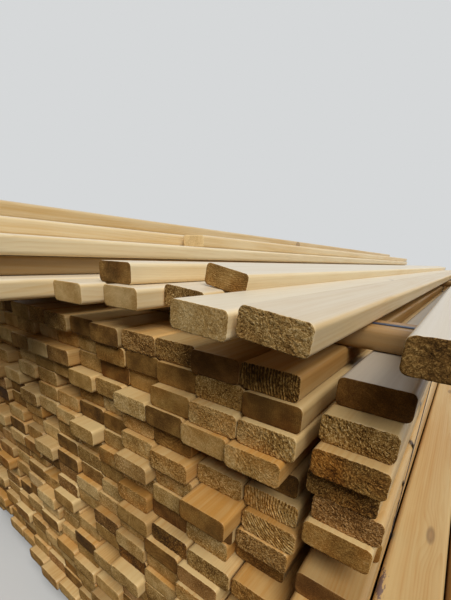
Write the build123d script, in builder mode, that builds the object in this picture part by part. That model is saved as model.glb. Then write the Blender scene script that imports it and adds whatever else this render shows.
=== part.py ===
"""Stack of planed softwood lumber: an open pack of long boards with rounded
long arrises, laid flat in courses on bearers, banded over battens, and with
loose boards of the same section lying on top of it.

Millimetres. X runs along the end face of the stack, Y along the boards, away
from the end that is seen first, and Z is up. The origin is at the middle of
the stack's box, at its foot.
"""
from build123d import *

import os
import random
from dataclasses import dataclass
from math import cos, radians, sin, sqrt

os.makedirs("parts", exist_ok=True)

# The board: its section, its stock length and its long arris
board_width = 89.0
board_thickness = 38.0
board_length = 4800.0
arris_radius = 8.0
flat_arris = arris_radius * (2 - sqrt(2))

# The pack: courses of boards laid side by side, in one wide block, one column
# beyond a gap, and low columns beside that
course_count = 21
seat_gap = 0.3
side_gap = 1.6
side_wander = 0.15
left_columns = 13
column_gap = 26.0
right_gap = 3.0
low_columns = 2
low_courses = 12

# Where the near ends lie, less than zero being proud of the end face. The
# free ones follow a mean that runs back to the left at the top, and out at the
# foot, most of all beside the gap. They scatter a little round it, and a few
# lie deep or stand proud.
end_back_at_left = 34.0
end_out_at_foot = -72.0
slant_columns = 5
end_scatter = 7.0
deep_share = 0.07
deep_back = 48.0
proud_share = 0.10
proud_out = -26.0
least_share = 0.6

# Near ends beside the gap, column by column to the left, each from the top down
left_near_ends = [
    [4, -2, -12, -23, 20, 7, -3, -6, 9, -28],
    [4, 5, -11, -17, 60, 4, -46, -11, -14, -30],
    [16, 10, -6, -10, 0, -20],
    [16, 18, 25, -9, 2, -9, -31],
]
right_near_ends = [37, 3, -14, 0, 2, -6, 60, -18]

# How far the upper courses stand to the right at the gap, from the top down
left_shifts = [-10, 0, 0, -12, 0, 9, 14, 7, 0, 18]
right_shifts = [-2, -6, -5, -11, 0, -5]

# Battens laid across the pack, each with a band over it and round the pack
batten_setback = 190.0
batten_width = 89.0
batten_thickness = 38.0
batten_count = 3
band_width = 16.0
band_thickness = 0.8
band_from_edge = 32.0

# Bearers under the pack
bearer_width = 75.0
bearer_height = 75.0
bearer_count = 4
bearer_setback = 620.0
bearer_short = 15.0

# Loose boards on the battens, from right to left: the gap to the board on the
# right, the near end, and the twist of the near end, right side down. The
# first few, whose near ends lie open, are drawn with round arrises.
round_loose = 6
first_right = 18.0
first_layer = [
    (0, -58, 6.3),
    (7, -62, 3.5),
    (44, 58, 5.0),
    (2, 2, 0),
    (20, -28, 0),
    (30, -150, 0),
    (14, -60, 0),
    (30, -20, 0),
    (18, -90, 0),
    (25, 10, 0),
]

# One more loose board lies on the right of the others, a little askew
side_board_gap = 77.0
side_board_end = -40.0
side_board_yaw = 0.75

# One board leans on the first layer, half down in the gap between the second
# and the third board: its roll, its near end, and its clearance at the lower one
lean_roll = 10.5
lean_end = 113.0
lean_gap = 0.5

# The loose layers above step back to the left: how far each layer's right-hand
# side lies to the left of the gap, then the gap and near end of each board
upper_layers = [
    (341, [(0, 24), (165, -170), (8, -60), (20, 30), (10, -120), (16, -40)]),
    (570, [(0, -230), (9, -90), (9, 10), (9, -150), (9, -80)]),
    (605, [(0, 540), (12, -260), (9, -120), (9, -30)]),
    (775, [(0, -300), (9, -60)]),
]

# A loose board whose near end lies this far back is of a shorter stock length
short_back = 300.0
short_length = 4200.0

rng = random.Random(27)


@dataclass
class Board:
    """A board by its right-hand side, its near end and its underside."""

    right: float
    end: float
    foot: float
    yaw: float = 0.0
    roll: float = 0.0
    twist: float = 0.0
    length: float = board_length
    rounded: bool = True

    def section_plane(self, distance, roll):
        """Plane of the section this far along, centred on it: x to the right, y down, z along.

        A rolled section keeps the height of its lowest arris and the place of its right one."""
        across = Vector(cos(radians(self.yaw)), sin(radians(self.yaw)), 0)
        along = Vector(-sin(radians(self.yaw)), cos(radians(self.yaw)), 0)
        up = Vector(0, 0, 1)
        flat = across * cos(radians(roll)) - up * sin(radians(roll))
        high = across * sin(radians(roll)) + up * cos(radians(roll))
        low_right = Vector(self.right, self.end, self.foot) + along * distance
        middle = low_right - flat * (board_width / 2) + high * (board_thickness / 2)
        middle += to_seat(roll)
        return Plane(origin=middle, x_dir=flat, z_dir=along)

    def plane_at(self, distance):
        """Section plane this far along, where part of the near end's twist is left."""
        return self.section_plane(distance, self.roll + self.twist * (1 - distance / self.length))

    def near_plane(self):
        return self.plane_at(0)

    def far_plane(self):
        return self.plane_at(self.length)

    def corners(self):
        """Corners of the square-edged section at both ends."""
        return [
            plane.origin + plane.x_dir * side * board_width / 2 + plane.y_dir * face * board_thickness / 2
            for plane in (self.near_plane(), self.far_plane())
            for side in (-1, 1)
            for face in (-1, 1)
        ]


def to_seat(roll):
    """Drop of a rolled section that brings its round low arris down on to its seat."""
    return Vector(0, 0, arris_radius * (1 - cos(radians(roll)) - sin(radians(roll))))


def free_end(course, column):
    """Near end of an ordinary board of the pack."""
    drop = (course_count - course) / (course_count - 1)
    back = end_back_at_left * min(1, column / slant_columns)
    out = end_out_at_foot * (1 - column / left_columns)
    mean = back + (out - back) * drop
    throw = rng.random()
    if throw < deep_share:
        return mean + deep_back * rng.uniform(least_share, 1)
    if throw > 1 - proud_share:
        return mean + proud_out * rng.uniform(least_share, 1)
    return mean + rng.gauss(0, end_scatter)


def listed(values, index, default):
    """The value at an index of a list, or the default past its end."""
    return values[index] if index < len(values) else default


# The pack is laid out from its near right-hand top corner, below which x = 0
column_pitch = board_width + side_gap
course_pitch = board_thickness + seat_gap
pack_foot = -course_count * course_pitch
left_side = -(left_columns - 1) * column_pitch - board_width
right_column = column_gap + board_width
right_side = right_column + low_columns * (board_width + right_gap)

courses = []
for course in range(1, course_count + 1):
    from_top = course_count - course
    foot = pack_foot + seat_gap + (course - 1) * course_pitch
    row = []
    for column in range(left_columns):
        known_ends = listed(left_near_ends, column, [])
        end = listed(known_ends, from_top, free_end(course, column))
        inward = column / (left_columns - 1)
        shift = listed(left_shifts, from_top, 0) * (1 - inward)
        wander = rng.uniform(-side_wander, side_wander) if inward < 1 else 0
        beside_gap = column == 0 and from_top < len(left_shifts)
        row.append(Board(shift - column * column_pitch + wander, end, foot, rounded=beside_gap))
    end = listed(right_near_ends, from_top, free_end(course, 0))
    shift = listed(right_shifts, from_top, 0)
    row.append(Board(right_column + shift, end, foot, rounded=from_top < len(right_near_ends)))
    if course <= low_courses:
        for column in range(1, low_columns + 1):
            right = right_column + column * (board_width + right_gap)
            row.append(Board(right, free_end(course, 0), foot, rounded=False))
    courses.append(row)

# The loose boards. The first layer lies on the battens and their bands.
batten_top = seat_gap + batten_thickness
band_top = batten_top + seat_gap + band_thickness
first_foot = band_top + seat_gap
first_loose = []
right = first_right
for gap, end, twist in first_layer:
    right -= gap
    in_view = len(first_loose) < round_loose
    first_loose.append(Board(right, end, first_foot, twist=twist, rounded=in_view))
    right -= board_width
side_right = first_right + side_board_gap + board_width
first_loose.append(Board(side_right, side_board_end, first_foot, yaw=side_board_yaw))


def top_circle(board, side):
    """Centre of the round top arris on one side, where the leaning board ends."""
    plane = board.plane_at(lean_end - board.end)
    to_side = board_width / 2 - arris_radius
    to_top = board_thickness / 2 - arris_radius
    return plane.origin + plane.x_dir * side * to_side - plane.y_dir * to_top


# The leaning board is seated by circles: its underside lies on the right top
# arris of the third board, and its own low arris against the left top arris of
# the second. The low circle slides along the underside until it meets that one.
shoulder = top_circle(first_loose[2], 1)
stop = top_circle(first_loose[1], -1)
lean_flat = Vector(cos(radians(lean_roll)), 0, -sin(radians(lean_roll)))
lean_high = Vector(sin(radians(lean_roll)), 0, cos(radians(lean_roll)))
start = shoulder + lean_high * (2 * arris_radius + seat_gap) - stop
along = start.dot(lean_flat)
reach = 2 * arris_radius + lean_gap
slide = -along - sqrt(along**2 - start.dot(start) + reach**2)
low_circle = stop + start + lean_flat * slide
low_corner = low_circle + (lean_flat - lean_high) * arris_radius
leaning = Board(low_corner.X, lean_end, low_circle.Z - arris_radius, roll=lean_roll)

loose_layers = [first_loose]
foot = first_foot
for step_back, boards in upper_layers:
    foot += board_thickness + seat_gap
    right = -step_back
    layer = []
    for gap, end in boards:
        right -= gap
        length = short_length if end > short_back else board_length
        in_view = len(loose_layers) == 1 and not layer
        layer.append(Board(right, end, foot, length=length, rounded=in_view))
        right -= board_width
    loose_layers.append(layer)
loose_layers[1].append(leaning)

# Everything is moved so that the origin is at the middle of the box, at its foot
all_boards = [board for row in courses + loose_layers for board in row]
points = [point for board in all_boards for point in board.corners()]
band_left = left_side - seat_gap - band_thickness
x_low = min(min(point.X for point in points), band_left)
x_high = max(point.X for point in points)
y_low = min(point.Y for point in points)
y_high = max(point.Y for point in points)
to_origin = Vector(-(x_low + x_high) / 2, -(y_low + y_high) / 2, bearer_height - pack_foot)


def placed(plane):
    """A plane of the layout, in the part's own frame."""
    return Plane(origin=plane.origin + to_origin, x_dir=plane.x_dir, z_dir=plane.z_dir)


def write(piece, name):
    piece.part.label = name
    export_step(piece.part, "parts/" + name + ".step")


def draw_section(rounded):
    """Section of a board, with round arrises or with the flats that are cut nearest to them."""
    if rounded:
        RectangleRounded(board_width, board_thickness, arris_radius)
    else:
        section = Rectangle(board_width, board_thickness)
        chamfer(section.vertices(), flat_arris)


def lay(boards, name):
    """Boards of one course or layer: straight ones drawn out, twisted ones lofted end to end."""
    with BuildPart() as layer:
        straight = [board for board in boards if not board.twist]
        for length in {board.length for board in straight}:
            for board in straight:
                if board.length == length:
                    with BuildSketch(placed(board.near_plane())):
                        draw_section(board.rounded)
            extrude(amount=length)
        for board in boards:
            if board.twist:
                with BuildSketch(placed(board.near_plane())):
                    draw_section(board.rounded)
                with BuildSketch(placed(board.far_plane())):
                    draw_section(board.rounded)
                loft(ruled=True)
    write(layer, name)


for number, row in enumerate(courses, 1):
    lay(row, f"course_{number:02d}")
for number, row in enumerate(loose_layers, 1):
    lay(row, f"loose_layer_{number}")

# Battens run across the pack, on its top course
batten_step = (board_length - 2 * batten_setback - batten_width) / (batten_count - 1)
batten_places = [batten_setback + number * batten_step for number in range(batten_count)]
batten_middle = seat_gap + batten_thickness / 2 + to_origin.Z
for number, near in enumerate(batten_places, 1):
    with BuildPart() as batten:
        with BuildSketch(Plane.YZ.offset(left_side + to_origin.X)):
            with Locations((near + batten_width / 2 + to_origin.Y, batten_middle)):
                RectangleRounded(batten_width, batten_thickness, arris_radius)
        extrude(amount=right_column - left_side)
    write(batten, f"batten_{number}")

# Bearers run across under the pack, a little short of its sides
bearer_step = (board_length - 2 * bearer_setback - bearer_width) / (bearer_count - 1)
bearer_middle = (left_side + right_side) / 2 + to_origin.X
for number in range(bearer_count):
    near = bearer_setback + number * bearer_step + to_origin.Y
    with BuildPart() as bearer:
        with BuildSketch(Plane.XY):
            with Locations((bearer_middle, near + bearer_width / 2)):
                Rectangle(right_side - left_side - 2 * bearer_short, bearer_width)
        extrude(amount=bearer_height)
    write(bearer, f"bearer_{number + 1}")

# A flat steel band goes over each batten, down both sides of the pack and under
# it: from just under the lowest course up to just over the batten
band_right = right_column + seat_gap
band_inner_width = band_right - left_side + seat_gap
band_inner_height = batten_top - pack_foot + seat_gap
band_x = (band_right + left_side - seat_gap) / 2 + to_origin.X
band_z = (batten_top + seat_gap + pack_foot) / 2 + to_origin.Z
for number, near in enumerate(batten_places, 1):
    with BuildPart() as band:
        with BuildSketch(Plane.XZ.offset(-(near + band_from_edge + to_origin.Y))):
            with Locations((band_x, band_z)):
                Rectangle(band_inner_width + 2 * band_thickness, band_inner_height + 2 * band_thickness)
                Rectangle(band_inner_width, band_inner_height, mode=Mode.SUBTRACT)
        extrude(amount=-band_width)
    write(band, f"band_{number}")
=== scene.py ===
"""Looks of a stack of planed softwood lumber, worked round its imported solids.

Metres, in the solids' own frame: X along the end face of the stack, Y along
the boards, away from the end that is seen first, and Z up.
"""

from math import pi, radians

import bpy
import numpy as np
from mathutils import Matrix, Vector


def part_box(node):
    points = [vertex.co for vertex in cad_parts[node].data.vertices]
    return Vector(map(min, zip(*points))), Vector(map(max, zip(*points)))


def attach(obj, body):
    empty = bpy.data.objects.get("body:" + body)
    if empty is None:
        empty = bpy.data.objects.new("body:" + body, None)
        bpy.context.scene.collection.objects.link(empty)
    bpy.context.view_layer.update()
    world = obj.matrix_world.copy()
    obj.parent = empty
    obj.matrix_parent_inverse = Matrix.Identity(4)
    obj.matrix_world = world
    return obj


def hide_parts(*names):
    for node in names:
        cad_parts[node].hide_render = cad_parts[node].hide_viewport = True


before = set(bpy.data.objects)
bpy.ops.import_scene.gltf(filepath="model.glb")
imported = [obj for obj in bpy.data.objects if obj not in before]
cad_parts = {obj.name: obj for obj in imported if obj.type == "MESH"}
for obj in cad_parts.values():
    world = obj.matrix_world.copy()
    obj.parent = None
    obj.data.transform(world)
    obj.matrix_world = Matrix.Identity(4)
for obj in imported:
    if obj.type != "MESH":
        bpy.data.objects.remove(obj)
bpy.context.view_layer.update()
MM = 0.001

# The bearers: square sawn softwood timbers that keep the lowest course clear of
# the ground. They are rough from the saw, with square arrises and grey with
# weather, and the pack lies on them with nothing to hold it.
bearer_count = 4
bearer_size, bearer_radius = (75 * MM, 75 * MM), 2 * MM

# Every timber is modelled more finely the nearer its end lies to the eye. The eye's
# place is measured from the near top corner of the wide part of the pack, at the gap.
batten_past_corner, batten_behind_corner = 115 * MM, 190 * MM
eye_from_corner = np.array([129.05, -358.5, 133.9]) * MM
batten_low, batten_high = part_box("batten_1")
pack_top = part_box("course_21")[1].z
corner = Vector((batten_high.x - batten_past_corner, batten_low.y - batten_behind_corner, pack_top))
eye = np.array(corner) + eye_from_corner


def lattice_noise(x, y, seed):
    """Smooth noise from 0 to 1: random heights at whole numbers of x and y, blended by 3t^2 - 2t^3."""
    column, row = np.floor(x), np.floor(y)
    across, up = x - column, y - row
    across, up = across**2 * (3 - 2 * across), up**2 * (3 - 2 * up)

    def height(i, j):
        """A height that looks random: the fraction of a large sine of i, j and the seed."""
        wave = np.sin(i * 127.1 + j * 311.7 + seed * 74.7) * 43758.5453
        return wave - np.floor(wave)

    low = height(column, row) * (1 - across) + height(column + 1, row) * across
    high = height(column, row + 1) * (1 - across) + height(column + 1, row + 1) * across
    return low * (1 - up) + high * up


def section_ring(width, thickness, radius, step):
    """Points round a rounded rectangle, anticlockwise from the middle of its right side.

    Straight runs are cut into equal lengths and quarter circles into equal angles, near the step.
    """
    run_w, run_t = width / 2 - radius, thickness / 2 - radius
    corner_steps = max(2, round(pi / 2 * radius / step))
    wide_steps = max(1, round(2 * run_w / step))
    half_steps = max(1, round(run_t / step))
    turn = np.linspace(0, pi / 2, corner_steps + 1)[:-1]
    rise = np.linspace(0, run_t, half_steps + 1)[:-1]
    climb = np.linspace(-run_t, run_t, 2 * half_steps + 1)[:-1]
    slide = np.linspace(-run_w, run_w, wide_steps + 1)[:-1]
    level = np.ones_like(slide)
    x = np.concatenate([
        rise * 0 + width / 2, run_w + radius * np.cos(turn),
        -slide, -run_w - radius * np.sin(turn),
        climb * 0 - width / 2, -run_w - radius * np.cos(turn),
        slide, run_w + radius * np.sin(turn),
        rise * 0 + width / 2,
    ])
    y = np.concatenate([
        rise, run_t + radius * np.sin(turn),
        level * thickness / 2, run_t + radius * np.cos(turn),
        -climb, -run_t - radius * np.sin(turn),
        level * -thickness / 2, -run_t - radius * np.cos(turn),
        rise - run_t,
    ])
    return x, y


def timber_grid(length, width, thickness, radius, step, near_rows):
    """Rings of a timber's section from its near end to its far one, as distances across, up and along.

    At both ends the rings shrink by equal steps on to a short line in the middle of the section,
    the spine. Each point keeps its own place on the spine, which two points of a ring share.
    """
    ring_x, ring_y = section_ring(width, thickness, radius, step)
    count = len(ring_x)
    around = np.arange(count)
    folded = np.minimum(around, count - around)
    half_spine = max(width - thickness, 0.2 * width) / 2
    spine_x = half_spine * (1 - 4 * folded / count)
    caps = max(2, round(thickness / 2 / step))
    far_rows = np.array([12, 1.6, 0]) * MM
    to_spine = [np.arange(caps, 0, -1) / caps, np.zeros(len(near_rows) + len(far_rows)), [0.5, 1]]
    to_spine = np.concatenate(to_spine)[:, None]
    along = [np.zeros(caps), near_rows, length - far_rows, np.full(2, length)]
    along = np.concatenate(along)[:, None]
    x = ring_x * (1 - to_spine) + spine_x * to_spine
    y = ring_y * (1 - to_spine)
    return x, y, along, to_spine, folded, caps


def torn_relief(x, y, look, step):
    """Relief of torn fibres on an end, with each point's distance from the pith and way round it.

    Ridges are a sine of the distance from the pith, made to sway by noise. Tufts are noise of two
    sizes on the distance and the way round, and longer that way on a streaked end. The relief is
    the sum of both, by the end's own shares, and fades where the mesh is too coarse for it.
    """
    shift = look["seed"] * 7.3
    streak = look["streak"]
    pith_x, pith_y = np.array(look["pith"]) * MM
    from_pith = np.hypot(x - pith_x, y - pith_y)
    turned = np.arctan2(y - pith_y, x - pith_x) - np.arctan2(-pith_y, -pith_x)
    ring_way = (np.mod(turned + pi, 2 * pi) - pi) * np.hypot(pith_x, pith_y)
    # Cells of noise in a metre, for the tufts' coarse and fine size and the ridges' sway
    coarse, coarse_round = 520, 430 - 240 * streak
    fine, fine_round = 1000, 850 - 450 * streak
    sway_cells = 55
    sway = lattice_noise(x * sway_cells + shift, y * sway_cells, 2) * 1.2
    ridges = 0.5 + 0.5 * np.sin(2 * pi * (from_pith / (look["pitch"] * MM) + sway))
    tufts = lattice_noise(from_pith * coarse + shift, ring_way * coarse_round, 3) * 0.6
    tufts = tufts + lattice_noise(from_pith * fine, ring_way * fine_round + shift, 4) * 0.4
    ridges = ridges * (0.4 + 1.2 * tufts)
    detail = min(1, 1.8 * MM / step)
    relief = detail * (streak * (1.8 * ridges - 0.9) + look["fleck"] * (2.4 * tufts - 1.2))
    return from_pith, ring_way, relief


def timber_mesh(ends, size, radius, look):
    """Surface of one timber: points, quads, which quads are of its ends, and the points' values.

    Rings of one section are carried from the near end to the far one, each by the frame between
    the two. The saw hollows the ends inwards, along the timber, and breaks their arrises. Both
    fade away from the end by e to the power of minus the distance over a reach of a few mm.
    """
    (near_middle, near_across, near_high), (far_middle, far_across, far_high) = ends
    length = np.linalg.norm(far_middle - near_middle)
    distance = np.linalg.norm(near_middle - eye)
    # Edges are 1.3 mm long on the nearest ends, and grow evenly with the distance up to 9 mm
    step = MM * np.clip(1.1 + 4.6 * (distance - 0.4), 1.3, 9)
    near_rows = np.array([0, 0.5, 1.6, 4, 12, 40, 160, 600, 1400]) * MM
    if distance > 0.8:
        near_rows = near_rows[[0, 2, 4, 6]]
    # A little thinner than its solid, so that it stays inside it and clear of its neighbours
    slack = 0.3 * MM
    width, thickness = size[0] - slack, size[1] - slack
    grid = timber_grid(length, width, thickness, radius, step, near_rows)
    x, y, along, to_spine, folded, caps = grid
    from_end = np.minimum(along, length - along)

    # The ragged arris of each end
    shift = look["seed"] * 7.3
    chip_depth, chip_cells, chip_reach = 0.9 * MM, 260, 1.1 * MM
    chips = lattice_noise(x * chip_cells + shift, y * chip_cells, 1) ** 2 * look["rough"] + 0.25
    broken = chip_depth * chips * np.exp(-from_end / chip_reach) * (1 - to_spine)
    x = x * (1 - broken / (width / 2))
    y = y * (1 - broken / (thickness / 2))

    # The tears, which also follow a broad unevenness of the cut
    tear_depth, deepest, tear_reach, broad_cells = 1.2 * MM, 2.2 * MM, 3.5 * MM, 70
    from_pith, ring_way, relief = torn_relief(x, y, look, step)
    broad = lattice_noise(x * broad_cells + shift, y * broad_cells, 5)
    hollow = tear_depth * look["rough"] * (0.9 - relief - 0.5 * broad)
    inwards = np.where(along < length / 2, 1.0, -1.0)
    along = along + inwards * np.clip(hollow, 0, deepest) * np.exp(-from_end / tear_reach)

    part = (along / length)[..., None]
    middle = near_middle + (far_middle - near_middle) * part
    across = near_across + (far_across - near_across) * part
    high = near_high + (far_high - near_high) * part
    points = middle + across * x[..., None] + high * y[..., None]
    rows, count = x.shape
    index = np.arange(rows * count).reshape(rows, count)
    index[0], index[-1] = index[0][folded], index[-1][folded]
    near, far = index[:-1], index[1:]
    quads = np.stack([near, far, np.roll(far, -1, 1), np.roll(near, -1, 1)], axis=-1)
    is_end = np.ones((rows - 1, count), dtype=np.int32)
    is_end[caps:-2] = 0

    pith_x, pith_y = np.array(look["pith"]) * MM
    slope_x, slope_y = look["slope"]
    log_x, log_y = x - pith_x + slope_x * along, y - pith_y + slope_y * along
    values = {
        "log": np.stack([log_x, log_y, along + look["seed"]], axis=-1),
        "place": np.stack([x, y, along], axis=-1),
        "torn": np.stack([from_pith, ring_way, relief], axis=-1),
        "mark": np.broadcast_to(look["mark"], points.shape),
        "end_look": np.broadcast_to([look["tone"], look["warm"], look["fleck"]], points.shape),
        "face_look": np.broadcast_to([look["face"], look["face_warm"], look["top_sheen"]], points.shape),
        "ring_look": np.broadcast_to([look["streak"], 0, 0], points.shape),
    }
    values = {name: value.reshape(-1, 3) for name, value in values.items()}
    return points.reshape(-1, 3), quads.reshape(-1, 4), is_end.reshape(-1), values


def timber_piece(node, timbers, size, radius, looks, materials):
    """One piece made of a node's timbers, in the node's place, with their values as point attributes."""
    made = [timber_mesh(ends, size, radius, look) for ends, look in zip(timbers, looks)]
    starts = np.cumsum([0] + [len(points) for points, _, _, _ in made])
    points = np.concatenate([one[0] for one in made])
    quads = np.concatenate([one[1] + start for one, start in zip(made, starts)])
    kinds = np.concatenate([one[2] for one in made])
    used, quads = np.unique(quads, return_inverse=True)
    quads = quads.reshape(-1, 4)
    mesh = bpy.data.meshes.new(node + "_wood")
    mesh.vertices.add(len(used))
    mesh.vertices.foreach_set("co", points[used].reshape(-1))
    mesh.loops.add(quads.size)
    mesh.loops.foreach_set("vertex_index", quads.reshape(-1).astype(np.int32))
    mesh.polygons.add(len(quads))
    mesh.polygons.foreach_set("loop_start", np.arange(0, quads.size, 4, dtype=np.int32))
    for material in materials:
        mesh.materials.append(material)
    mesh.polygons.foreach_set("material_index", kinds)
    mesh.update(calc_edges=True)
    mesh.shade_smooth()
    for name in made[0][3]:
        value = np.concatenate([one[3][name] for one in made])[used]
        layer = mesh.attributes.new(name, "FLOAT_VECTOR", "POINT")
        layer.data.foreach_set("vector", value.reshape(-1).astype(np.float32))
    piece = bpy.data.objects.new(node + "_wood", mesh)
    bpy.context.scene.collection.objects.link(piece)
    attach(piece, "root")
    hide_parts(node)


def straight_ends(node):
    """Frames of the two ends of a level timber that lies along X: middle, across and up, from its box."""
    low, high = (np.array(place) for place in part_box(node))
    middle = (low + high) / 2
    across, up = np.array([0, -1.0, 0]), np.array([0, 0, 1.0])
    near, far = middle.copy(), middle.copy()
    near[0], far[0] = low[0], high[0]
    return (near, across, up), (far, across, up)


def drawn_look(rng, **chosen):
    """How one timber looks: numbers drawn at random, some of them replaced by chosen ones.

    Of the ends, tone is how pale they are, warm how orange, fleck how tufted, streak how lined,
    and rough how deeply torn. The pith is its place in mm from the middle of the section, pitch
    the width of the torn rings in mm, and slope how the pith strays along the timber. Of the long
    faces, face is how pale they are, and a low one darkens a board all over, in part its own dull
    tone and in part painted shade on boards that lie in shade; face_warm is how tan they are, and
    the last of the three how strongly the upward faces are paled by a painted reflection of the
    sky. The mark is where bark is left: metres across, up and along, and well off the timber if
    none is.
    """
    smooth = rng.random() < 0.35
    turn = rng.uniform(0, 2 * pi)
    off = rng.uniform(40, 120)
    look = {
        "seed": rng.uniform(0, 40),
        "tone": rng.normal(0.46 if smooth else 0.6, 0.18),
        "warm": rng.normal(0.5, 0.22),
        "fleck": rng.uniform(0.1, 0.35) if smooth else rng.uniform(0.5, 1),
        "streak": rng.uniform(0.05, 0.7) ** 2,
        "rough": rng.uniform(0.2, 0.5) if smooth else rng.uniform(0.6, 1),
        "pith": (off * np.cos(turn), off * np.sin(turn)),
        "pitch": rng.uniform(2.2, 4.4),
        "slope": rng.normal(0, 0.014, 2),
        "face": rng.normal(0.5, 0.25),
        "face_warm": np.clip(rng.normal(0.6, 0.3), 0, 1.1),
        "top_sheen": 0.0,
        "mark": (0, 0, -10),
    }
    look.update(chosen)
    return look


def tint(red, green, blue):
    """A colour given by its 0 to 255 display values, as linear light: the standard curve undone."""
    shown = np.array([red, green, blue]) / 255
    return (*np.where(shown > 0.04045, ((shown + 0.055) / 1.055) ** 2.4, shown / 12.92), 1.0)


class Paint:
    """A material's nodes. Each call adds one and gives back its output."""

    def __init__(self, name):
        self.material = bpy.data.materials.new(name)
        self.material.use_nodes = True
        self.tree = self.material.node_tree
        self.shader = self.tree.nodes["Principled BSDF"]

    def feed(self, socket, value):
        """Links another node's output to a socket, or sets the socket to a plain value."""
        if isinstance(value, bpy.types.NodeSocket):
            self.tree.links.new(value, socket)
        else:
            socket.default_value = value

    def add(self, kind, output, inputs, **settings):
        """Any kind of node, with its settings and its inputs, for the one output that is named."""
        node = self.tree.nodes.new("ShaderNode" + kind)
        for name, value in settings.items():
            setattr(node, name, value)
        for name, value in inputs.items():
            self.feed(node.inputs[name], value)
        return node.outputs[output]

    def math(self, operation, *values):
        return self.add("Math", 0, dict(enumerate(values)), operation=operation)

    def vectors(self, operation, first, second):
        return self.add("VectorMath", 0, {0: first, 1: second}, operation=operation)

    def scaled(self, vector, x, y, z):
        return self.vectors("MULTIPLY", vector, (x, y, z))

    def joined(self, x, y, z):
        return self.add("CombineXYZ", 0, {0: x, 1: y, 2: z})

    def parts(self, vector):
        node = self.tree.nodes.new("ShaderNodeSeparateXYZ")
        self.feed(node.inputs[0], vector)
        return node.outputs[0], node.outputs[1], node.outputs[2]

    def attribute(self, name):
        return self.add("Attribute", "Vector", {}, attribute_name=name)

    def noise(self, vector, scale=1.0, detail=3.0, roughness=0.55):
        inputs = {"Vector": vector, "Scale": scale, "Detail": detail, "Roughness": roughness}
        return self.add("TexNoise", 0, inputs)

    def grain(self, log, across, along, detail):
        """Noise with this many cells in a metre across the timber and along it."""
        return self.noise(self.scaled(log, across, across, along), detail=detail)

    def slide(self, value, low, high, start=0.0, end=1.0):
        """The value, carried smoothly from between low and high to between start and end."""
        inputs = {"Value": value, "From Min": low, "From Max": high, "To Min": start, "To Max": end}
        return self.add("MapRange", 0, inputs, interpolation_type="SMOOTHSTEP")

    def ramp(self, value, places, colours):
        """Colours that follow one another as the value passes their places, from 0 to the last place."""
        node = self.tree.nodes.new("ShaderNodeValToRGB")
        self.feed(node.inputs[0], self.math("DIVIDE", value, places[-1]))
        stops = node.color_ramp.elements
        for place, colour in zip(places[1:-1], colours[1:-1]):
            stops.new(place / places[-1]).color = colour
        stops[0].color, stops[len(stops) - 1].color = colours[0], colours[-1]
        return node.outputs[0]

    def mix(self, factor, first, second, blend="MIX"):
        return self.add("Mix", 2, {0: factor, 6: first, 7: second}, data_type="RGBA", blend_type=blend)

    def bump(self, height, distance):
        return self.add("Bump", 0, {"Height": height, "Distance": distance, "Strength": 1.0})

    def finish(self, colour, roughness, normal, specular):
        """Feeds the shader's main inputs and gives back the finished material."""
        self.feed(self.shader.inputs["Base Color"], colour)
        self.feed(self.shader.inputs["Roughness"], roughness)
        self.feed(self.shader.inputs["Normal"], normal)
        self.feed(self.shader.inputs["Specular IOR Level"], specular)
        return self.material


def growth_rings(paint, pitch):
    """How far out each point is in growth rings: its distance from the pith over the pitch, and noise.

    With it come the point's place in the log and its plain distance from the pith.
    """
    log = paint.attribute("log")
    x, y, _ = paint.parts(log)
    waver = paint.grain(log, 14, 1.3, detail=2.0)
    squares = paint.math("ADD", paint.math("POWER", x, 2.0), paint.math("POWER", y, 2.0))
    radius = paint.math("SQRT", squares)
    counted = paint.math("DIVIDE", radius, pitch)
    return paint.math("ADD", counted, paint.math("MULTIPLY", waver, 6.0)), log, radius


def late_wood(paint, rings):
    """Dark late wood of each ring: it comes on slowly outwards and ends sharply."""
    within = paint.math("FRACT", rings)
    return paint.math("MULTIPLY", paint.slide(within, 0.25, 0.9), paint.slide(within, 1.0, 0.92))


def knot_cells(paint, log, radius):
    """Distance from the nearest knot, in cells of a Voronoi pattern, half of which have no knot.

    The pattern lies on a cylinder round the pith. Each point past a least radius is carried
    straight out or in to it, so that a knot runs outwards and widens like a branch.
    """
    cylinder, least_radius = 110 * MM, 50 * MM
    cells_a_metre, share_along = 5.2, 0.62
    x, y, z = paint.parts(log)
    spread = paint.math("DIVIDE", cylinder, paint.math("MAXIMUM", radius, least_radius))
    branch_x, branch_y = paint.math("MULTIPLY", x, spread), paint.math("MULTIPLY", y, spread)
    branch = paint.joined(branch_x, branch_y, paint.math("MULTIPLY", z, share_along))
    cells = {"Vector": branch, "Scale": cells_a_metre}
    distance = paint.add("TexVoronoi", "Distance", cells)
    kept, _, _ = paint.parts(paint.add("TexVoronoi", "Color", cells))
    return paint.math("MULTIPLY_ADD", paint.math("LESS_THAN", kept, 0.5), 2.0, distance)


def bark_patch(paint, log):
    """Where bark is left: a long patch round the timber's mark, with a ragged edge by noise.

    It reaches about 8 mm from the mark across the timber and 38 mm along it.
    """
    away = paint.vectors("SUBTRACT", paint.attribute("place"), paint.attribute("mark"))
    away = paint.add("VectorMath", "Value", {0: paint.scaled(away, 125, 125, 26)}, operation="LENGTH")
    ragged = paint.slide(paint.grain(log, 160, 60, detail=3.0), 0.3, 0.7, -0.45, 0.45)
    return paint.slide(paint.math("ADD", away, ragged), 1.0, 0.82)


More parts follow.
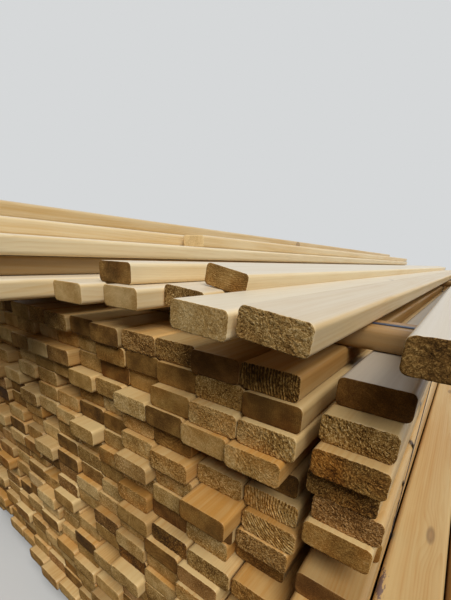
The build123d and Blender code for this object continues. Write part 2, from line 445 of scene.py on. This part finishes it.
def planed_faces(name, pale, tan, knot):
    """Planed softwood: faint rings, a few knots with the grain bent round them, fine fibres, a
    slight sheen, upper faces paled by a painted reflection of the sky, painted shade on boards
    that lie in shade, and bark left on an arris where a board has it.
    """
    paint = Paint(name)
    rings, log, radius = growth_rings(paint, 4.6 * MM)
    face_tone, face_warm, top_sheen = paint.parts(paint.attribute("face_look"))

    # A knot has a brown heart and a dark rim, and the rings swirl round it
    cell = knot_cells(paint, log, radius)
    knot_centre = paint.slide(cell, 0.075, 0.035)
    knot_rim = paint.math("MULTIPLY", paint.slide(cell, 0.115, 0.07), paint.slide(cell, 0.035, 0.07))
    swirl = paint.slide(cell, 0.34, 0.04, 0.0, 2.2)
    late = late_wood(paint, paint.math("ADD", rings, swirl))

    # Late wood, streaks and blotches carry the wood from pale to tan
    fibres = paint.grain(log, 1500, 9, detail=2.0)
    streaks = paint.grain(log, 120, 2.0, detail=3.0)
    blotches = paint.grain(log, 14, 2.2, detail=4.0)
    depth = paint.slide(blotches, 0.35, 0.65, 0.06, 0.26)
    grain = paint.math("MULTIPLY_ADD", late, depth, paint.slide(streaks, 0.35, 0.75, 0.0, 0.3))
    shade = paint.math("ADD", grain, paint.slide(blotches, 0.3, 0.7, -0.1, 0.3))
    shade = paint.math("ADD", shade, paint.math("SUBTRACT", face_warm, 0.42))
    colour = paint.mix(paint.math("MAXIMUM", shade, 0.0), pale, tan)

    # Upward faces are paled towards grey-white by a painted reflection of the sky, and a board with
    # a low face value is darker all over: in part its own dull tone, in part painted shade
    _, _, up = paint.parts(paint.add("NewGeometry", "Normal", {}))
    sky = paint.math("MULTIPLY", paint.slide(up, 0.55, 0.95), top_sheen)
    colour = paint.mix(sky, colour, tint(217, 210, 197))
    # A darker copy of the colour: a board's own dull tone, and painted shade on boards that lie in shade
    dull_and_shade = (0.48, 0.44, 0.4, 1)
    dark = paint.mix(1.0, colour, dull_and_shade, "MULTIPLY")
    colour = paint.mix(paint.slide(face_tone, 0.65, -0.4), colour, dark)
    colour = paint.mix(paint.slide(fibres, 0.35, 0.75, 0.1, 0.0), colour, dark)
    colour = paint.mix(paint.math("MULTIPLY", knot_centre, 0.6), colour, knot)
    colour = paint.mix(paint.math("MULTIPLY", knot_rim, 0.55), colour, tint(96, 66, 40))
    bark = paint.mix(streaks, tint(92, 72, 66), tint(132, 112, 104))
    colour = paint.mix(bark_patch(paint, log), colour, bark)

    height = paint.math("ADD", paint.math("MULTIPLY", fibres, 0.5), paint.math("MULTIPLY", late, 0.5))
    roughness = paint.slide(streaks, 0.3, 0.7, 0.36, 0.5)
    return paint.finish(colour, roughness, paint.bump(height, 0.05 * MM), 0.55)


def sawn_ends(name, shades, orange, violet):
    """Cross-cut ends: torn tufts and holes that are long the way of the rings, saw grit and stain.

    The shades run from the deepest hollow to the palest fibre.
    """
    paint = Paint(name)
    rings, log, _ = growth_rings(paint, 3.1 * MM)
    tone, warm, fleck = paint.parts(paint.attribute("end_look"))
    torn = paint.attribute("torn")
    _, _, relief = paint.parts(torn)
    streak, _, _ = paint.parts(paint.attribute("ring_look"))

    # The tufts' noise runs on the distance from the pith and the way round it, and is
    # different for each timber
    own = paint.vectors("ADD", paint.scaled(torn, 1, 1, 0), paint.scaled(log, 0.15, 0.15, 1))
    tuft_cells = paint.joined(680.0, paint.math("MULTIPLY_ADD", streak, -330.0, 560.0), 9.0)
    own = paint.vectors("MULTIPLY", own, tuft_cells)
    tufts = paint.noise(own, detail=2.0, roughness=0.6)
    grit = paint.noise(own, 2.5, detail=2.0, roughness=0.6)
    stain = paint.noise(log, 26.0, detail=4.0)
    wash = paint.noise(log, 15.0, detail=3.0)
    late = late_wood(paint, rings)

    # The level picks the colour: each kind of mark lifts or lowers it. Standing tufts and raised
    # relief lift it, and holes and hollows lower it: partly the wood's own tone, partly painted
    # highlight on the fibres and painted shade in the hollows.
    level = paint.math("ADD", paint.slide(stain, 0.25, 0.75, -0.16, 0.2), tone)
    standing = paint.slide(tufts, 0.5, 0.72, 0.0, 0.62)
    holes = paint.slide(tufts, 0.3, 0.46, -0.36, 0.0)
    level = paint.math("MULTIPLY_ADD", paint.math("ADD", standing, holes), fleck, level)
    level = paint.math("ADD", paint.slide(grit, 0.3, 0.7, -0.13, 0.16), level)
    level = paint.math("MULTIPLY_ADD", relief, 0.3, level)
    lines = paint.math("MULTIPLY", late, paint.slide(stain, 0.35, 0.6, 0.4, 1.0))
    level = paint.math("MULTIPLY_ADD", lines, paint.math("MULTIPLY", streak, -0.34), level)
    colour = paint.ramp(level, (0.0, 0.35, 0.7, 1.25), shades)

    # A warm end glows orange in patches, and a cool one is faintly violet
    glow = paint.math("MULTIPLY", paint.slide(wash, 0.3, 0.72), paint.slide(warm, 0.4, 1.0))
    orange_wood = paint.mix(1.0, colour, orange, "MULTIPLY")
    colour = paint.mix(paint.math("MULTIPLY", glow, 0.7), colour, orange_wood)
    violet_wood = paint.mix(1.0, colour, violet, "MULTIPLY")
    colour = paint.mix(paint.slide(warm, 0.4, 0.0, 0.0, 0.8), colour, violet_wood)
    height = paint.math("MULTIPLY_ADD", tufts, fleck, paint.math("MULTIPLY", grit, 0.25))
    return paint.finish(colour, 0.9, paint.bump(height, 1.3 * MM), 0.15)


orange, violet = tint(255, 204, 120), tint(244, 226, 232)
bearer_faces = planed_faces("bearer_faces", tint(150, 136, 112), tint(118, 101, 78), tint(70, 52, 36))
grey_shades = [tint(40, 32, 22), tint(84, 70, 50), tint(122, 104, 78), tint(168, 150, 120)]
bearer_ends = sawn_ends("bearer_ends", grey_shades, orange, violet)
rng = np.random.default_rng(11)
for number in range(1, bearer_count + 1):
    node = f"bearer_{number}"
    timber_piece(node, [straight_ends(node)], bearer_size, bearer_radius,
                 [drawn_look(rng)], [bearer_faces, bearer_ends])

# The courses: boards planed on all four sides, with long arrises rounded by the
# cutter and ends cut across by a coarse saw. Each course lies on the one below,
# board beside board, and the bands hold them together.
course_count, upper_columns = 21, 14
board_size, board_radius = (89 * MM, 38 * MM), 8 * MM


def node_points(name):
    """The different corners of a node's mesh, and its triangles by their numbers."""
    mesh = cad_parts[name].data
    places = np.empty(len(mesh.vertices) * 3)
    mesh.vertices.foreach_get("co", places)
    mesh.calc_loop_triangles()
    triangles = np.empty(len(mesh.loop_triangles) * 3, dtype=np.int64)
    mesh.loop_triangles.foreach_get("vertices", triangles)
    places, index = np.unique(np.round(places.reshape(-1, 3), 5), axis=0, return_inverse=True)
    return places, index.reshape(-1)[triangles].reshape(-1, 3)


def separate(places, triangles):
    """The points of each solid. Every point takes the lowest number in its triangles, until none changes."""
    labels = np.arange(len(places))
    changed = True
    while changed:
        spread = labels.copy()
        np.minimum.at(spread, triangles.reshape(-1), np.repeat(labels[triangles].min(axis=1), 3))
        spread = spread[spread]
        changed = not np.array_equal(spread, labels)
        labels = spread
    return [places[labels == label] for label in np.unique(labels)]


def end_frame(points):
    """Middle of an end's outline, and its directions across (widest, to the right) and up."""
    spread = points - points.mean(axis=0)
    across = np.linalg.svd(spread)[2][0]
    across = across * np.sign(across[0])
    high = np.cross(across, (0, 1.0, 0))
    high = high / np.linalg.norm(high)
    reach_across, reach_high = spread @ across, spread @ high
    middle = points.mean(axis=0)
    middle = middle + across * (reach_across.max() + reach_across.min()) / 2
    middle = middle + high * (reach_high.max() + reach_high.min()) / 2
    return middle, across, high


def boards_of(node):
    """Frames of the two ends of each board of a node, from the right-hand board to the left.

    The points within the end depth of a board's first and last one are those of its ends.
    """
    end_depth = 3 * MM
    found = []
    for points in separate(*node_points(node)):
        reach = points[:, 1]
        near = end_frame(points[reach < reach.min() + end_depth])
        far = end_frame(points[reach > reach.max() - end_depth])
        found.append((near, far))
    return sorted(found, key=lambda ends: -ends[0][0][0])


# The pack's boards take a darker, more orange copy of the loose boards' materials: painted shade and warm
# light thrown between the boards, for the pack lies deeper in shade
shaded_board_faces = planed_faces("shaded_board_faces", tint(214, 184, 128), tint(190, 138, 68), tint(139, 91, 52))
end_shades = [tint(48, 30, 11), tint(118, 82, 35), tint(180, 138, 72), tint(240, 208, 146)]
board_ends = sawn_ends("board_ends", end_shades, orange, violet)

# Looks of the boards nearest the gap, by course from the foot and by column: 0 is the column
# to the right of the gap, 1 and up those to its left, and -1 and -2 the low ones to its right.
# Some low face values, as on the low board at -2, are painted shade on boards that lie in shade.
near_looks = {
    (12, -2): dict(face=-0.3, face_warm=1.4),
    (12, -1): dict(face=0.3, face_warm=0.35, mark=(-38 * MM, 14 * MM, 160 * MM)),
    (21, 0): dict(tone=0.27, warm=0.2, fleck=0.12, streak=0.05, rough=0.3,
                  face=0.15, face_warm=0.2, top_sheen=0.8),
    (20, 0): dict(tone=0.48, warm=0.35, fleck=1.0, streak=0.05, rough=1.0, pith=(70, 40), face=0.3),
    (19, 0): dict(tone=0.38, warm=1.0, fleck=0.7, streak=0.1, rough=0.9, pith=(30, 60),
                  face=0.7, face_warm=0.5),
    (18, 0): dict(tone=0.38, warm=0.8, fleck=0.9, streak=0.1, rough=1.0, pith=(-60, 30)),
    (17, 0): dict(tone=0.52, warm=0.0, fleck=0.9, streak=0.05, rough=0.9),
    (16, 0): dict(tone=0.58, warm=1.0, fleck=0.35, streak=0.2, rough=0.4, face=0.8, face_warm=0.4),
    (14, 0): dict(tone=0.38, warm=0.0, fleck=0.12, streak=0.05, rough=0.3, face=0.0, face_warm=0.7),
    (21, 1): dict(tone=0.42, fleck=0.6, streak=0.8, rough=0.9, pith=(110, 12), pitch=4.2, face=0.3),
    (20, 1): dict(tone=0.25, warm=0.8, fleck=0.1, streak=0.1, rough=0.25, face=0.3),
    (19, 1): dict(tone=0.66, warm=0.7, fleck=0.9, streak=0.2, rough=1.0, pith=(-50, -20)),
    (18, 1): dict(tone=0.72, warm=0.9, fleck=0.6, streak=0.05, rough=0.7, pith=(70, 30),
                  face=0.6, face_warm=0.95),
    (17, 1): dict(tone=0.2, warm=0.4, fleck=0.2, rough=0.5, face=-0.2),
    (16, 1): dict(tone=0.72, warm=0.8, fleck=0.6, streak=0.85, rough=0.9, pith=(120, 20), pitch=4.6),
    (15, 1): dict(tone=0.72, warm=0.7, fleck=0.6, streak=0.85, rough=0.9, pith=(60, 60), pitch=4.6),
    (14, 1): dict(tone=0.56, warm=0.2, fleck=0.8, streak=0.3, rough=0.9),
    (13, 1): dict(tone=0.3, warm=0.5, fleck=0.5, rough=0.6),
    (12, 1): dict(tone=0.5, warm=0.9, fleck=0.6, rough=0.7, face=0.55, face_warm=1.05),
    (21, 2): dict(tone=0.36, warm=0.1, fleck=0.12, streak=0.05, rough=0.3, face=0.1),
    (20, 2): dict(tone=0.54, warm=0.5, fleck=0.9, streak=0.1, rough=0.9),
    (19, 2): dict(tone=0.7, warm=0.8, fleck=0.9, streak=0.05, rough=0.9),
    (18, 2): dict(tone=0.72, warm=0.7, fleck=0.35, streak=0.1, rough=0.5),
    (16, 2): dict(tone=0.58, warm=0.4, fleck=0.9, streak=0.3, rough=0.9),
    (15, 2): dict(tone=0.42, warm=0.8, fleck=0.2, rough=0.3, face=0.55, face_warm=1.05),
    (14, 2): dict(tone=0.34, warm=0.0, fleck=0.1, streak=0.05, rough=0.3, face=0.3),
    (13, 2): dict(tone=0.66, warm=0.6, fleck=0.9, rough=0.9, face=0.5, face_warm=1.2),
    (21, 3): dict(tone=0.4, warm=0.25, fleck=0.85, streak=0.1, rough=0.9, face=0.1, face_warm=0.4),
    (20, 3): dict(tone=0.36, warm=0.6, fleck=0.15, streak=0.1, rough=0.3, face=0.3, face_warm=0.5),
    (19, 3): dict(tone=0.55, warm=0.75, fleck=0.2, streak=0.1, rough=0.4),
    (18, 3): dict(tone=0.36, warm=0.3, fleck=0.2, streak=0.1, rough=0.4),
    (21, 4): dict(tone=0.46, warm=0.2, fleck=1.0, streak=0.1, rough=1.0, face=0.5, face_warm=0.8),
    (20, 4): dict(tone=0.34, warm=0.5, fleck=0.15, streak=0.1, rough=0.3),
    (21, 5): dict(tone=0.3, warm=0.3, fleck=0.2, streak=0.1, rough=0.3, face=0.0, face_warm=0.3),
    (20, 5): dict(tone=0.5, warm=0.75, fleck=0.35, streak=0.5, rough=0.5),
    (21, 6): dict(tone=0.32, warm=0.3, fleck=0.15, streak=0.1, rough=0.3, face=0.1, face_warm=0.2),
}
rng = np.random.default_rng(5)
for course in range(1, course_count + 1):
    node = f"course_{course:02d}"
    boards = boards_of(node)
    low_ones = len(boards) - upper_columns
    chosen = [near_looks.get((course, place - low_ones), {}) for place in range(len(boards))]
    looks = [drawn_look(rng, **look) for look in chosen]
    timber_piece(node, boards, board_size, board_radius,
                 looks, [shaded_board_faces, board_ends])

# The battens: boards of the same section, laid flat across the pack. They carry
# the loose boards, and the bands pull them down.
batten_count = 3
for number in range(1, batten_count + 1):
    node = f"batten_{number}"
    # Their low face value is painted shade, for they lie under the loose boards
    timber_piece(node, [straight_ends(node)], board_size, board_radius,
                 [drawn_look(rng, face=-0.1, face_warm=0.8)], [shaded_board_faces, board_ends])

# The bands: flat steel strip with dark blue paint, drawn tight round the pack
# and its batten, so that it bends sharply at each corner.
band_count = 3
band_thickness, band_bend = 0.8 * MM, 3 * MM


def band_mesh(low, high, thickness, bend, name):
    """A strip round a box: a loop of quarter circles at its corners and straight runs between them.

    At each point of the loop stand four corners of the strip: its outer edges at the bend's full
    radius, and its inner ones at that radius less the thickness. Each four joins the next.
    """
    centre_x, centre_z = (low[0] + high[0]) / 2, (low[2] + high[2]) / 2
    run_x, run_z = (high[0] - low[0]) / 2 - bend, (high[2] - low[2]) / 2 - bend
    bend_points = 7
    turn = np.linspace(0, pi / 2, bend_points)
    circle = np.concatenate([turn + quarter * pi / 2 for quarter in range(4)])
    side_x = np.repeat([1, -1, -1, 1], bend_points)
    side_z = np.repeat([1, 1, -1, -1], bend_points)
    hub_x, hub_z = centre_x + side_x * run_x, centre_z + side_z * run_z
    inner = bend - thickness
    edges = []
    for radius, y in ((bend, low[1]), (bend, high[1]), (inner, high[1]), (inner, low[1])):
        x, z = hub_x + radius * np.cos(circle), hub_z + radius * np.sin(circle)
        edges.append(np.stack([x, np.full(len(x), y), z], axis=-1))
    points = np.stack(edges, axis=1).reshape(-1, 3)
    index = np.arange(len(points)).reshape(-1, 4)
    following = np.roll(index, -1, 0)
    faces = np.stack([index, np.roll(index, -1, 1), np.roll(following, -1, 1), following], axis=-1)
    mesh = bpy.data.meshes.new(name)
    mesh.from_pydata(points, [], faces.reshape(-1, 4)[:, ::-1])
    return mesh


def painted_steel(name):
    """Dark blue paint on steel strip, worn to bare metal in small scratches, with a soft sheen."""
    paint = Paint(name)
    place = paint.add("TexCoord", "Object", {})
    wear = paint.noise(place, 90.0, detail=6.0, roughness=0.7)
    cloud = paint.noise(place, 9.0, detail=3.0)
    bare = paint.slide(wear, 0.66, 0.72)
    colour = paint.mix(paint.slide(cloud, 0.3, 0.7), tint(34, 44, 66), tint(52, 63, 88))
    colour = paint.mix(bare, colour, tint(120, 116, 112))
    paint.feed(paint.shader.inputs["Metallic"], paint.math("MULTIPLY", bare, 0.9))
    roughness = paint.slide(cloud, 0.3, 0.7, 0.3, 0.45)
    return paint.finish(colour, roughness, paint.bump(wear, 0.05 * MM), 0.5)


band_paint = painted_steel("band_paint")
for number in range(1, band_count + 1):
    node = f"band_{number}"
    low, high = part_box(node)
    mesh = band_mesh(low, high, band_thickness, band_bend, node + "_strip")
    mesh.materials.append(band_paint)
    mesh.shade_smooth()
    piece = bpy.data.objects.new(node + "_strip", mesh)
    bpy.context.scene.collection.objects.link(piece)
    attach(piece, "root")
    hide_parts(node)

# The loose boards: more boards of the same kind, lying free on the battens and on each other.
# Their materials are paler copies of the pack's: painted light, for they lie open to the light.
layer_count = 5
lit_loose_faces = planed_faces("lit_loose_faces", tint(238, 219, 178), tint(216, 180, 118), tint(150, 104, 62))
lit_end_shades = [tint(50, 33, 14), tint(120, 87, 42), tint(184, 147, 86), tint(242, 216, 162)]
lit_loose_ends = sawn_ends("lit_loose_ends", lit_end_shades, orange, violet)

# Looks of the nearest of them, by layer and by place in it, counted from the right. The low face
# value of the third board of the second layer is painted shade under the overhang of the layer above.
loose_looks = {
    (1, 0): dict(tone=0.28, warm=0.6, fleck=0.5, streak=0.05, rough=0.9, pith=(40, -60),
                 face=0.9, top_sheen=0.85),
    (1, 1): dict(tone=0.54, warm=0.75, fleck=0.75, streak=0.05, rough=0.7, pith=(-30, -70), face=0.4),
    (1, 2): dict(tone=0.72, warm=0.6, fleck=0.45, streak=0.1, rough=0.6),
    (1, 3): dict(tone=0.36, warm=0.5, fleck=0.8, streak=0.05, rough=0.9),
    (1, 4): dict(tone=0.78, warm=0.6, fleck=0.15, streak=0.2, rough=0.4),
    (1, 5): dict(tone=0.78, warm=0.6, fleck=0.1, streak=0.2, rough=0.3),
    (2, 0): dict(tone=0.52, warm=1.0, fleck=0.25, streak=0.4, rough=0.4, top_sheen=0.7),
    (2, 1): dict(tone=0.3, warm=0.7, fleck=0.15, streak=0.2, rough=0.4, face=0.8, face_warm=0.4),
    (2, 2): dict(face=-0.5, face_warm=1.0),
    (3, 0): dict(face=0.95, face_warm=0.25),
    (4, 0): dict(face=0.7, face_warm=0.6),
    (4, 1): dict(face=0.7, face_warm=0.6),
    (5, 0): dict(face=0.3, face_warm=0.8),
}
rng = np.random.default_rng(8)
for layer in range(1, layer_count + 1):
    node = f"loose_layer_{layer}"
    boards = boards_of(node)
    chosen = [{"top_sheen": 0.5, **loose_looks.get((layer, place), {})} for place in range(len(boards))]
    looks = [drawn_look(rng, **look) for look in chosen]
    timber_piece(node, boards, board_size, board_radius,
                 looks, [lit_loose_faces, lit_loose_ends])

# The floor: plain and pale to the eye, but darker to the light that it throws back
# up, so that the hollows of the pack keep their depth
half_floor = 12.0
floor_corners = [(-half_floor, -half_floor, 0), (half_floor, -half_floor, 0),
                 (half_floor, half_floor, 0), (-half_floor, half_floor, 0)]
mesh = bpy.data.meshes.new("floor")
mesh.from_pydata(floor_corners, [], [(0, 1, 2, 3)])
floor = bpy.data.objects.new("floor", mesh)
bpy.context.scene.collection.objects.link(floor)
floor_paint = Paint("floor_paint")
cloud = floor_paint.noise(floor_paint.add("TexCoord", "Object", {}), 1.2, detail=4.0)
pale = floor_paint.mix(cloud, tint(196, 196, 194), tint(206, 206, 204))
thrown_back = floor_paint.add("LightPath", "Is Diffuse Ray", {})
pale = floor_paint.mix(thrown_back, pale, tint(40, 38, 36))
mesh.materials.append(floor_paint.finish(pale, 0.9, floor_paint.bump(cloud, 0.1 * MM), 0.2))

# The main light: broad and soft, from the right and the front, high up
light_way = Vector((-0.52, 0.36, -0.775))
light = bpy.data.objects.new("sky_light", bpy.data.lights.new("sky_light", "SUN"))
light.data.energy = 2.9
light.data.angle = radians(40)
light.data.color = (1.0, 0.985, 0.96)
light.rotation_euler = light_way.to_track_quat("-Z", "Y").to_euler()
bpy.context.scene.collection.objects.link(light)

# The fill light: it comes from above alone, and grows from none at the lowest height
# of a direction to its full strength straight up. The eye sees a plain backdrop instead.
lowest, full_strength = 0.3, 0.5
world = bpy.data.worlds.new("studio")
bpy.context.scene.world = world
world.use_nodes = True
tree = world.node_tree
fill = tree.nodes["Background"]
fill.inputs["Color"].default_value = (0.95, 0.97, 1.0, 1)
above = tree.nodes.new("ShaderNodeSeparateXYZ")
tree.links.new(tree.nodes.new("ShaderNodeTexCoord").outputs["Generated"], above.inputs[0])
dome = tree.nodes.new("ShaderNodeMapRange")
dome.inputs["From Min"].default_value = lowest
dome.inputs["To Max"].default_value = full_strength
tree.links.new(above.outputs[2], dome.inputs["Value"])
tree.links.new(dome.outputs[0], fill.inputs["Strength"])
backdrop = tree.nodes.new("ShaderNodeBackground")
backdrop.inputs["Color"].default_value = tint(214, 216, 217)
rays = tree.nodes.new("ShaderNodeLightPath")
seen = rays.outputs["Is Camera Ray"]
for kind in ("Is Glossy Ray", "Is Transmission Ray"):
    either = tree.nodes.new("ShaderNodeMath")
    either.operation = "MAXIMUM"
    tree.links.new(seen, either.inputs[0])
    tree.links.new(rays.outputs[kind], either.inputs[1])
    seen = either.outputs[0]
choice = tree.nodes.new("ShaderNodeMixShader")
tree.links.new(seen, choice.inputs[0])
tree.links.new(fill.outputs[0], choice.inputs[1])
tree.links.new(backdrop.outputs[0], choice.inputs[2])
tree.links.new(choice.outputs[0], tree.nodes["World Output"].inputs["Surface"])

# The camera: the photograph's height, its focal length and how far its middle lies
# above the lens's axis, all in pixels, then its turn to the left, dip and roll in degrees
photo_height, focal_length, rise = 600, 330.9, 71.5
heading, dip, roll = 34.77, 19.36, 2.64
camera = bpy.data.objects.new("camera", bpy.data.cameras.new("camera"))
camera.data.sensor_width = 36
camera.data.lens = camera.data.sensor_width * focal_length / photo_height
camera.data.shift_y = rise / photo_height
camera.data.clip_start = 10 * MM
turned = Matrix.Rotation(radians(heading), 4, "Z") @ Matrix.Rotation(radians(90 - dip), 4, "X")
camera.matrix_world = Matrix.Translation(eye) @ turned @ Matrix.Rotation(radians(roll), 4, "Z")
bpy.context.scene.collection.objects.link(camera)
bpy.context.scene.camera = camera
bpy.context.scene.view_settings.view_transform = "Standard"
